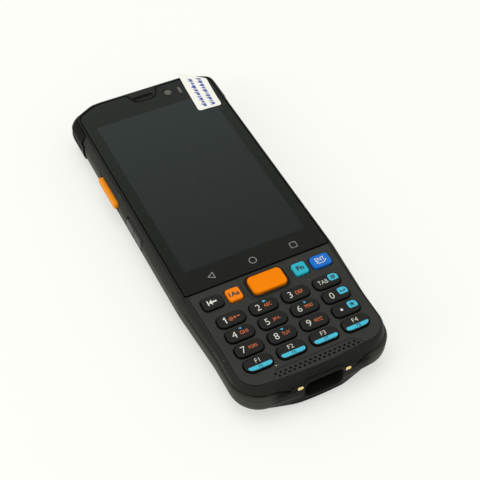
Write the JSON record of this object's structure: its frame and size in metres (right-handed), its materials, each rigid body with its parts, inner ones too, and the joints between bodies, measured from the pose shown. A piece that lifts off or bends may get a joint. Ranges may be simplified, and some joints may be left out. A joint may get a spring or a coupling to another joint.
{
  "type": "portable barcode data terminal",
  "caption": "Rugged handheld scanner terminal: tall touch screen over a phone-style keypad with a central scan key, side scan key, dock recess and removable battery lid.",
  "frame": {"origin": "middle of the footprint on the surface that the back rests on", "axes": "+Y along the body from the dock end to the scanner end, +Z out of the screen, +X to the right as the keypad is read"},
  "size_m": [0.0689, 0.1654, 0.0182],
  "materials": {
    "key_dark": "matte",
    "key_orange": "satin",
    "key_cyan": "satin",
    "key_blue": "satin",
    "front_shell": "satin",
    "rear_shell": "satin",
    "lid_shell": "textured",
    "keypad_plate": "satin",
    "black_trim": "matte",
    "mat_rubber": "matte",
    "seal_rubber": "matte",
    "bumper_rubber": "matte",
    "spring_steel": "bright",
    "steel": "satin",
    "screw_steel": "black",
    "frame_alloy": "satin",
    "circuit_board": "satin",
    "touch_glass": "polished",
    "film": "clear",
    "tab_film": "satin",
    "display": "unlit",
    "inner_dark": "matte",
    "lens": "polished",
    "battery_wrap": "satin",
    "gold_contact": "gold plated",
    "side_key_grey": "satin",
    "scan_red": "polished",
    "flash": "diffuse"
  },
  "bodies": {
    "housing": {"front_housing": "front_shell", "keypad_plate": "keypad_plate", "scan_key_ring": "black_trim", "key_mat": "mat_rubber", "key_domes": "spring_steel", "keypad_board": "circuit_board", "touch_glass": "touch_glass", "screen_film": "film", "pull_tab": "tab_film", "display_panel": "display", "mid_frame": "frame_alloy", "earpiece": "inner_dark", "earpiece_mesh": "black_trim", "front_camera": "lens", "light_sensor": "lens", "rear_housing": "rear_shell", "battery": "battery_wrap", "battery_contacts": "gold_contact", "head_bumpers": "bumper_rubber", "charging_contacts": "gold_contact", "side_switches": "circuit_board", "main_board": "circuit_board", "shield_cans": "steel", "usb_socket": "steel", "loudspeaker": "inner_dark", "microphone": "gold_contact", "vibration_motor": "steel", "scan_engine": "inner_dark", "scan_window": "scan_red", "rear_camera": "lens", "camera_window": "lens", "flash_led": "flash", "housing_screws": "screw_steel"},
    "battery_lid": {"battery_lid": "lid_shell", "lid_seal": "seal_rubber"},
    "side_scan_key": {"side_scan_key": "key_orange"},
    "power_key": {"power_key": "side_key_grey"},
    "volume_rocker": {"volume_rocker": "side_key_grey"},
    "key_backspace": {"key_backspace": "key_dark"},
    "key_alpha": {"key_alpha": "key_orange"},
    "key_scan": {"key_scan": "key_orange"},
    "key_fn": {"key_fn": "key_cyan"},
    "key_enter": {"key_enter": "key_blue"},
    "key_1": {"key_1": "key_dark"},
    "key_2": {"key_2": "key_dark"},
    "key_3": {"key_3": "key_dark"},
    "key_tab": {"key_tab": "key_dark"},
    "key_4": {"key_4": "key_dark"},
    "key_5": {"key_5": "key_dark"},
    "key_6": {"key_6": "key_dark"},
    "key_0": {"key_0": "key_dark"},
    "key_7": {"key_7": "key_dark"},
    "key_8": {"key_8": "key_dark"},
    "key_9": {"key_9": "key_dark"},
    "key_point": {"key_point": "key_dark"},
    "key_f1": {"key_f1": "key_dark"},
    "key_f2": {"key_f2": "key_dark"},
    "key_f3": {"key_f3": "key_dark"},
    "key_f4": {"key_f4": "key_dark"}
  },
  "joints": [
    {"name": "lid_hinge", "type": "hinge", "parent": "housing", "child": "battery_lid", "pos_m": [0, 0.0342, 0.0011], "axis": [1, 0, 0], "range_deg": [0, 70]},
    {"name": "side_scan_press", "type": "slide", "parent": "housing", "child": "side_scan_key", "axis": [1, 0, 0], "range_m": [0, 0.0005], "stiffness_N_per_m": 500},
    {"name": "power_press", "type": "slide", "parent": "housing", "child": "power_key", "axis": [-1, 0, 0], "range_m": [0, 0.0003], "stiffness_N_per_m": 500},
    {"name": "volume_rock", "type": "hinge", "parent": "housing", "child": "volume_rocker", "pos_m": [-0.03125, 0.0098, 0.011], "axis": [0, 0, 1], "range_deg": [-2.2, 2.2], "stiffness_Nm_per_rad": 0.02},
    {"name": "press_backspace", "type": "slide", "parent": "housing", "child": "key_backspace", "axis": [0, 0, -1], "range_m": [0, 0.0004], "stiffness_N_per_m": 400},
    {"name": "press_alpha", "type": "slide", "parent": "housing", "child": "key_alpha", "axis": [0, 0, -1], "range_m": [0, 0.0004], "stiffness_N_per_m": 400},
    {"name": "press_scan", "type": "slide", "parent": "housing", "child": "key_scan", "axis": [0, 0, -1], "range_m": [0, 0.0004], "stiffness_N_per_m": 400},
    {"name": "press_fn", "type": "slide", "parent": "housing", "child": "key_fn", "axis": [0, 0, -1], "range_m": [0, 0.0004], "stiffness_N_per_m": 400},
    {"name": "press_enter", "type": "slide", "parent": "housing", "child": "key_enter", "axis": [0, 0, -1], "range_m": [0, 0.0004], "stiffness_N_per_m": 400},
    {"name": "press_1", "type": "slide", "parent": "housing", "child": "key_1", "axis": [0, 0, -1], "range_m": [0, 0.0004], "stiffness_N_per_m": 400},
    {"name": "press_2", "type": "slide", "parent": "housing", "child": "key_2", "axis": [0, 0, -1], "range_m": [0, 0.0004], "stiffness_N_per_m": 400},
    {"name": "press_3", "type": "slide", "parent": "housing", "child": "key_3", "axis": [0, 0, -1], "range_m": [0, 0.0004], "stiffness_N_per_m": 400},
    {"name": "press_tab", "type": "slide", "parent": "housing", "child": "key_tab", "axis": [0, 0, -1], "range_m": [0, 0.0004], "stiffness_N_per_m": 400},
    {"name": "press_4", "type": "slide", "parent": "housing", "child": "key_4", "axis": [0, 0, -1], "range_m": [0, 0.0004], "stiffness_N_per_m": 400},
    {"name": "press_5", "type": "slide", "parent": "housing", "child": "key_5", "axis": [0, 0, -1], "range_m": [0, 0.0004], "stiffness_N_per_m": 400},
    {"name": "press_6", "type": "slide", "parent": "housing", "child": "key_6", "axis": [0, 0, -1], "range_m": [0, 0.0004], "stiffness_N_per_m": 400},
    {"name": "press_0", "type": "slide", "parent": "housing", "child": "key_0", "axis": [0, 0, -1], "range_m": [0, 0.0004], "stiffness_N_per_m": 400},
    {"name": "press_7", "type": "slide", "parent": "housing", "child": "key_7", "axis": [0, 0, -1], "range_m": [0, 0.0004], "stiffness_N_per_m": 400},
    {"name": "press_8", "type": "slide", "parent": "housing", "child": "key_8", "axis": [0, 0, -1], "range_m": [0, 0.0004], "stiffness_N_per_m": 400},
    {"name": "press_9", "type": "slide", "parent": "housing", "child": "key_9", "axis": [0, 0, -1], "range_m": [0, 0.0004], "stiffness_N_per_m": 400},
    {"name": "press_point", "type": "slide", "parent": "housing", "child": "key_point", "axis": [0, 0, -1], "range_m": [0, 0.0004], "stiffness_N_per_m": 400},
    {"name": "press_f1", "type": "slide", "parent": "housing", "child": "key_f1", "axis": [0, 0, -1], "range_m": [0, 0.0004], "stiffness_N_per_m": 400},
    {"name": "press_f2", "type": "slide", "parent": "housing", "child": "key_f2", "axis": [0, 0, -1], "range_m": [0, 0.0004], "stiffness_N_per_m": 400},
    {"name": "press_f3", "type": "slide", "parent": "housing", "child": "key_f3", "axis": [0, 0, -1], "range_m": [0, 0.0004], "stiffness_N_per_m": 400},
    {"name": "press_f4", "type": "slide", "parent": "housing", "child": "key_f4", "axis": [0, 0, -1], "range_m": [0, 0.0004], "stiffness_N_per_m": 400}
  ]
}
